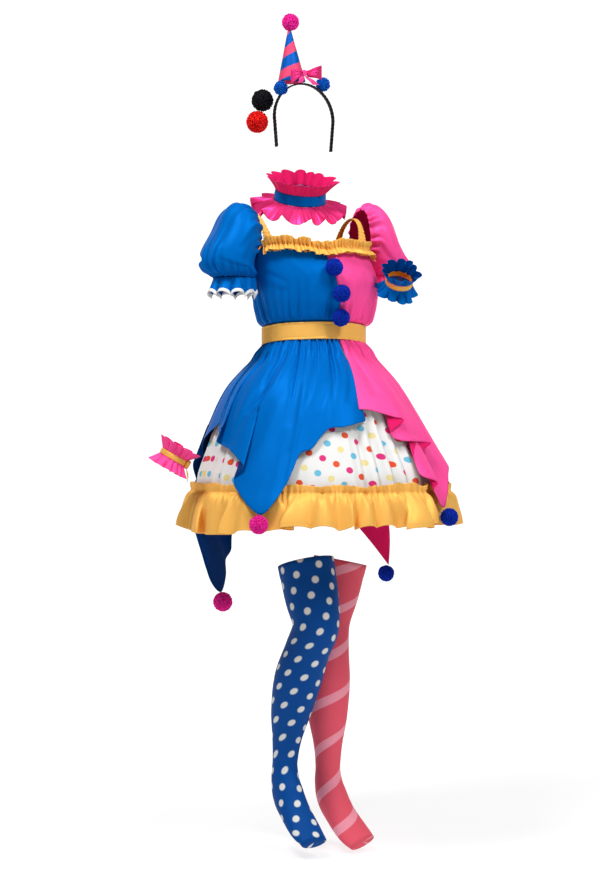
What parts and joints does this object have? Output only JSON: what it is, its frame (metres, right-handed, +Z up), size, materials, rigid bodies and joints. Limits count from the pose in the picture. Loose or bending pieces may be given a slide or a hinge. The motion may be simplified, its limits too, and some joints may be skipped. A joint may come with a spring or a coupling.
{
  "type": "clown costume",
  "caption": "Worn clown set: puff sleeve dress with pointed overskirt, dotted petticoat and pompoms, ruff collar, wrist cuffs, cone hat on a headband, hair pompoms and thigh stockings.",
  "frame": {"origin": "centre of the waist, at mid height of the belt, where the belt holds the dress on the wearer", "axes": "+Z up along the wearer, -Y the way the front of the dress faces, +X the wearer's left"},
  "size_m": [0.7171, 0.6365, 1.8598],
  "materials": {
    "blue_satin": "glossy satin",
    "pink_satin": "glossy satin",
    "yellow_satin": "glossy satin",
    "dotted_satin": "white satin with round dots of orange, pink, light blue and pale yellow",
    "striped_satin": "slanted pink and blue stripes",
    "white_ribbon": "matte ribbon",
    "blue_pompom": "fluffy yarn",
    "pink_pompom": "fluffy yarn",
    "black_pompom": "fluffy yarn",
    "red_pompom": "fluffy yarn",
    "black_band": "satin wound",
    "dotted_knit": "fine stretch knit, navy with pale dots",
    "striped_knit": "fine stretch knit, raspberry with slanted pink stripes"
  },
  "bodies": {
    "root": {"belt": "yellow_satin", "bodice_back_left": "pink_satin", "bodice_back_right": "blue_satin", "bodice_front_left": "pink_satin", "bodice_front_right": "blue_satin", "bodice_pompom_bottom": "blue_pompom", "bodice_pompom_middle": "blue_pompom", "bodice_pompom_top": "blue_pompom", "collar_band": "blue_satin", "collar_lower_ruff": "pink_satin", "collar_upper_ruff": "pink_satin", "cuff_left_band": "yellow_satin", "cuff_left_lower_ruffle": "blue_satin", "cuff_left_upper_ruffle": "blue_satin", "cuff_right_band": "yellow_satin", "cuff_right_knot": "yellow_satin", "cuff_right_lower_ruffle": "pink_satin", "cuff_right_tail": "yellow_satin", "cuff_right_upper_ruffle": "pink_satin", "hair_loop_black": "black_band", "hair_loop_red": "black_band", "hair_pompom_black": "black_pompom", "hair_pompom_red": "red_pompom", "hat_bow_knot": "pink_satin", "hat_bow_loop_left": "pink_satin", "hat_bow_loop_right": "pink_satin", "hat_bow_tail_left": "pink_satin", "hat_bow_tail_right": "pink_satin", "hat_cone": "striped_satin", "hat_pompom": "pink_pompom", "hat_tuft_left": "blue_pompom", "hat_tuft_right": "blue_pompom", "headband": "black_band", "hem_ruffle": "yellow_satin", "neckline_ruffle_back": "yellow_satin", "neckline_ruffle_front": "yellow_satin", "overskirt_back_left": "pink_satin", "overskirt_back_right": "blue_satin", "overskirt_front_left": "pink_satin", "overskirt_front_right": "blue_satin", "petticoat_back_left": "dotted_satin", "petticoat_back_right": "dotted_satin", "petticoat_front_left": "dotted_satin", "petticoat_front_right": "dotted_satin", "sleeve_left": "pink_satin", "sleeve_right": "blue_satin", "sleeve_ruffle_left": "pink_satin", "sleeve_ruffle_right": "blue_satin", "sleeve_trim_left": "white_ribbon", "sleeve_trim_right": "white_ribbon", "stocking_left_leg": "striped_knit", "stocking_left_thigh": "striped_knit", "stocking_right_leg": "dotted_knit", "stocking_right_thigh": "dotted_knit", "strap_left": "yellow_satin", "strap_right": "yellow_satin", "tip_pompom_back_left": "blue_pompom", "tip_pompom_back_right": "pink_pompom", "tip_pompom_front_left": "blue_pompom", "tip_pompom_front_right": "pink_pompom"}
  },
  "joints": []
}
